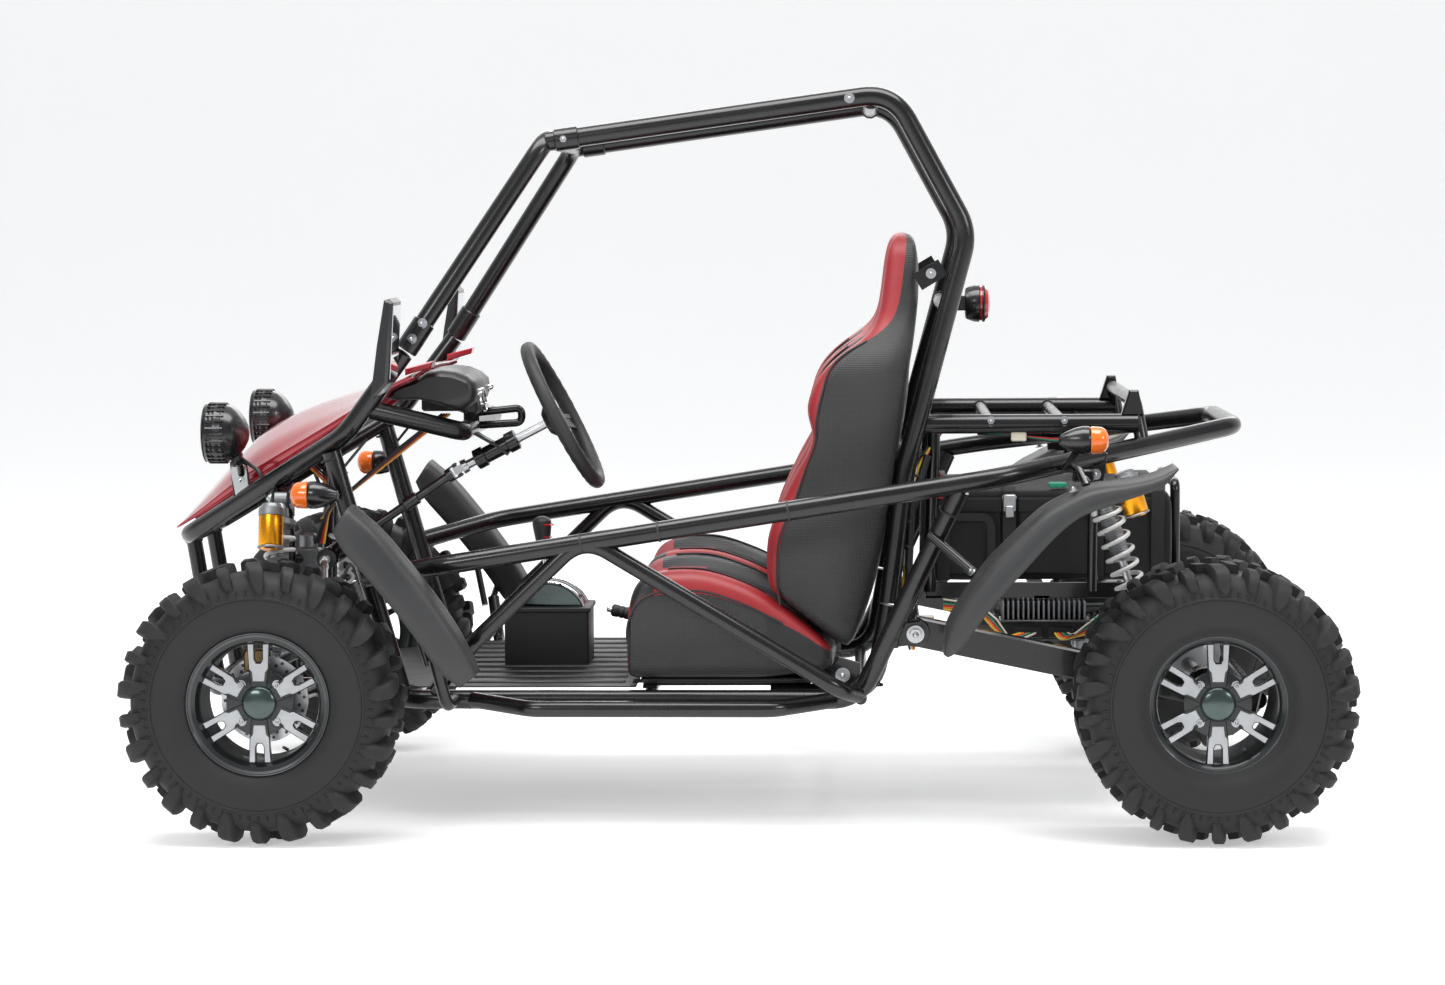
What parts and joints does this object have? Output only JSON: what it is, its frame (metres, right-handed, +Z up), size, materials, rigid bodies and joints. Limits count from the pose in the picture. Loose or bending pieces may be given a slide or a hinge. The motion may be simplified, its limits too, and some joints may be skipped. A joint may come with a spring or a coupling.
{
  "type": "off-road kart",
  "caption": "Two-seat electric off-road kart on a welded tube frame, with roof hoop, hood, sprung front arms, rear swing arm and knobbly tyres.",
  "frame": {"origin": "on the ground under the middle of the bounding box", "axes": "-X is the nose, +X the tail, -Y the kart's left side, +Z up"},
  "size_m": [2.36, 1.38, 1.4417],
  "materials": {
    "frame_paint": "gloss",
    "hood_red": "gloss",
    "dark_plastic": "matte",
    "gloss_black": "gloss",
    "red_lens": "gloss",
    "tyre_rubber": "matte",
    "seat_cover": "satin",
    "bag_cloth": "matte",
    "alloy": "satin",
    "gold_alloy": "satin",
    "steel": "satin",
    "grip_rubber": "matte"
  },
  "bodies": {
    "chassis": {"lower_frame": "frame_paint", "floor_pan": "frame_paint", "nose_frame": "frame_paint", "windscreen_hoop": "frame_paint", "roof_hoop": "frame_paint", "rear_frame": "frame_paint", "seat_rails": "frame_paint", "hood": "hood_red", "dash_panel": "dark_plastic", "console_box": "gloss_black", "battery_pack": "bag_cloth", "motor_controller": "alloy", "tail_light": "red_lens", "side_bar_left": "frame_paint", "headlight_left": "gloss_black", "front_fender_left": "dark_plastic", "rear_fender_left": "dark_plastic", "side_bar_right": "frame_paint", "headlight_right": "gloss_black", "front_fender_right": "dark_plastic", "rear_fender_right": "dark_plastic"},
    "steering_wheel": {"steering_wheel": "grip_rubber", "steering_column": "steel"},
    "lower_column": {"lower_column": "steel"},
    "rack_bar": {"rack_bar": "steel"},
    "swing_arm": {"swing_arm": "frame_paint", "drive_motor": "alloy"},
    "rear_axle": {"rear_axle": "steel", "rear_rim_left": "alloy", "rear_tyre_left": "tyre_rubber", "rear_rim_right": "alloy", "rear_tyre_right": "tyre_rubber"},
    "brake_pedal": {"brake_pedal": "steel"},
    "accelerator_pedal": {"accelerator_pedal": "steel"},
    "shift_lever": {"shift_lever": "steel"},
    "hand_brake": {"hand_brake": "grip_rubber"},
    "front_arm_left": {"front_arm_left": "frame_paint"},
    "knuckle_left": {"knuckle_left": "steel"},
    "front_wheel_left": {"front_rim_left": "alloy", "front_tyre_left": "tyre_rubber"},
    "tie_rod_left": {"tie_rod_left": "steel"},
    "front_shock_body_left": {"front_shock_body_left": "gold_alloy"},
    "front_shock_rod_left": {"front_shock_rod_left": "steel"},
    "rear_shock_body_left": {"rear_shock_body_left": "gold_alloy"},
    "rear_shock_rod_left": {"rear_shock_rod_left": "steel"},
    "seat_left": {"seat_cushion_left": "seat_cover", "seat_back_left": "seat_cover"},
    "mirror_left": {"mirror_left": "gloss_black"},
    "front_arm_right": {"front_arm_right": "frame_paint"},
    "knuckle_right": {"knuckle_right": "steel"},
    "front_wheel_right": {"front_rim_right": "alloy", "front_tyre_right": "tyre_rubber"},
    "tie_rod_right": {"tie_rod_right": "steel"},
    "front_shock_body_right": {"front_shock_body_right": "gold_alloy"},
    "front_shock_rod_right": {"front_shock_rod_right": "steel"},
    "rear_shock_body_right": {"rear_shock_body_right": "gold_alloy"},
    "rear_shock_rod_right": {"rear_shock_rod_right": "steel"},
    "seat_right": {"seat_cushion_right": "seat_cover", "seat_back_right": "seat_cover"},
    "mirror_right": {"mirror_right": "gloss_black"}
  },
  "joints": [
    {"name": "front_arm_left", "type": "hinge", "parent": "chassis", "child": "front_arm_left", "pos_m": [-0.908, -0.252, 0.246], "axis": [-1, 0, 0], "range_deg": [0, 2.8], "stiffness_Nm_per_rad": 1200, "springref_deg": -14.32},
    {"name": "steer_left", "type": "hinge", "parent": "front_arm_left", "child": "knuckle_left", "pos_m": [-0.908, -0.535, 0.272], "axis": [0, 0, 1], "range_deg": [-18, 18]},
    {"name": "front_wheel_left", "type": "hinge", "parent": "knuckle_left", "child": "front_wheel_left", "pos_m": [-0.908, -0.601, 0.272], "axis": [0, 1, 0], "continuous": true},
    {"name": "tie_rod_left", "type": "hinge", "parent": "rack_bar", "child": "tie_rod_left", "pos_m": [-0.835, -0.252, 0.33], "axis": [-1, 0, 0], "range_deg": [0, 2.8]},
    {"name": "front_shock_body_left", "type": "hinge", "parent": "chassis", "child": "front_shock_body_left", "pos_m": [-0.908, -0.355, 0.64], "axis": [-1, 0, 0], "range_deg": [-0.2, 0]},
    {"name": "front_shock_rod_left", "type": "slide", "parent": "front_shock_body_left", "child": "front_shock_rod_left", "axis": [0, 0.2673, 0.9636], "range_m": [0, 0.0102]},
    {"name": "rear_shock_body_left", "type": "hinge", "parent": "chassis", "child": "rear_shock_body_left", "pos_m": [0.697, -0.385, 0.686], "axis": [0, -1, 0], "range_deg": [0, 3.5]},
    {"name": "rear_shock_rod_left", "type": "slide", "parent": "rear_shock_body_left", "child": "rear_shock_rod_left", "axis": [-0.2989, 0, 0.9543], "range_m": [0, 0.0535]},
    {"name": "seat_slide_left", "type": "slide", "parent": "chassis", "child": "seat_left", "axis": [1, 0, 0], "range_m": [-0.09, 0]},
    {"name": "mirror_left", "type": "hinge", "parent": "chassis", "child": "mirror_left", "pos_m": [-0.6895, -0.455, 0.868], "axis": [0, 0, 1], "range_deg": [-15, 15]},
    {"name": "front_arm_right", "type": "hinge", "parent": "chassis", "child": "front_arm_right", "pos_m": [-0.908, 0.252, 0.246], "axis": [1, 0, 0], "range_deg": [0, 2.8], "stiffness_Nm_per_rad": 1200, "springref_deg": -14.32},
    {"name": "steer_right", "type": "hinge", "parent": "front_arm_right", "child": "knuckle_right", "pos_m": [-0.908, 0.535, 0.272], "axis": [0, 0, 1], "range_deg": [-18, 18]},
    {"name": "front_wheel_right", "type": "hinge", "parent": "knuckle_right", "child": "front_wheel_right", "pos_m": [-0.908, 0.601, 0.272], "axis": [0, 1, 0], "continuous": true},
    {"name": "tie_rod_right", "type": "hinge", "parent": "rack_bar", "child": "tie_rod_right", "pos_m": [-0.835, 0.252, 0.33], "axis": [1, 0, 0], "range_deg": [0, 2.8]},
    {"name": "front_shock_body_right", "type": "hinge", "parent": "chassis", "child": "front_shock_body_right", "pos_m": [-0.908, 0.355, 0.64], "axis": [1, 0, 0], "range_deg": [-0.2, 0]},
    {"name": "front_shock_rod_right", "type": "slide", "parent": "front_shock_body_right", "child": "front_shock_rod_right", "axis": [0, -0.2673, 0.9636], "range_m": [0, 0.0102]},
    {"name": "rear_shock_body_right", "type": "hinge", "parent": "chassis", "child": "rear_shock_body_right", "pos_m": [0.697, 0.385, 0.686], "axis": [0, -1, 0], "range_deg": [0, 3.5]},
    {"name": "rear_shock_rod_right", "type": "slide", "parent": "rear_shock_body_right", "child": "rear_shock_rod_right", "axis": [-0.2989, 0, 0.9543], "range_m": [0, 0.0535]},
    {"name": "seat_slide_right", "type": "slide", "parent": "chassis", "child": "seat_right", "axis": [1, 0, 0], "range_m": [-0.09, 0]},
    {"name": "mirror_right", "type": "hinge", "parent": "chassis", "child": "mirror_right", "pos_m": [-0.6895, 0.455, 0.868], "axis": [0, 0, 1], "range_deg": [-15, 15]},
    {"name": "steering_wheel", "type": "hinge", "parent": "chassis", "child": "steering_wheel", "pos_m": [-0.36, -0.2, 0.795], "axis": [0.8886, 0, 0.4587], "range_deg": [-94, 94]},
    {"name": "lower_column", "type": "hinge", "parent": "chassis", "child": "lower_column", "pos_m": [-0.575, -0.2, 0.684], "axis": [0.8311, 0, 0.5562], "range_deg": [-94, 94]},
    {"name": "rack_bar", "type": "slide", "parent": "chassis", "child": "rack_bar", "axis": [0, 1, 0], "range_m": [-0.0345, 0.0345]},
    {"name": "swing_arm", "type": "hinge", "parent": "chassis", "child": "swing_arm", "pos_m": [0.345, 0, 0.378], "axis": [0, -1, 0], "range_deg": [0, 7], "stiffness_Nm_per_rad": 4800, "springref_deg": -14.32},
    {"name": "rear_axle", "type": "hinge", "parent": "swing_arm", "child": "rear_axle", "pos_m": [0.912, 0, 0.268], "axis": [0, 1, 0], "continuous": true},
    {"name": "brake_pedal", "type": "hinge", "parent": "chassis", "child": "brake_pedal", "pos_m": [-0.745, -0.17, 0.292], "axis": [0, -1, 0], "range_deg": [0, 20], "stiffness_Nm_per_rad": 8, "springref_deg": -11.46},
    {"name": "accelerator_pedal", "type": "hinge", "parent": "chassis", "child": "accelerator_pedal", "pos_m": [-0.745, -0.08, 0.292], "axis": [0, -1, 0], "range_deg": [0, 20], "stiffness_Nm_per_rad": 6, "springref_deg": -11.46},
    {"name": "shift_lever", "type": "hinge", "parent": "chassis", "child": "shift_lever", "pos_m": [-0.408, 0, 0.365], "axis": [0, 1, 0], "range_deg": [-15, 15]},
    {"name": "hand_brake", "type": "hinge", "parent": "chassis", "child": "hand_brake", "pos_m": [-0.062, 0, 0.302], "axis": [0, 1, 0], "range_deg": [0, 30]}
  ],
  "couplings": [
    {"joint": "tie_rod_left", "follows": "front_arm_left", "ratio": 1},
    {"joint": "front_shock_body_left", "follows": "front_arm_left", "ratio": -0.063},
    {"joint": "front_shock_rod_left", "follows": "front_arm_left", "m_per_rad": 0.2037},
    {"joint": "rear_shock_body_left", "follows": "swing_arm", "ratio": 0.48},
    {"joint": "rear_shock_rod_left", "follows": "swing_arm", "m_per_rad": 0.4325},
    {"joint": "tie_rod_right", "follows": "front_arm_right", "ratio": 1},
    {"joint": "front_shock_body_right", "follows": "front_arm_right", "ratio": -0.063},
    {"joint": "front_shock_rod_right", "follows": "front_arm_right", "m_per_rad": 0.2037},
    {"joint": "rear_shock_body_right", "follows": "swing_arm", "ratio": 0.48},
    {"joint": "rear_shock_rod_right", "follows": "swing_arm", "m_per_rad": 0.4325},
    {"joint": "steer_right", "follows": "steer_left", "ratio": 1},
    {"joint": "steering_wheel", "follows": "steer_left", "ratio": 5.2},
    {"joint": "lower_column", "follows": "steer_left", "ratio": 5.2},
    {"joint": "rack_bar", "follows": "steer_left", "m_per_rad": 0.108}
  ]
}
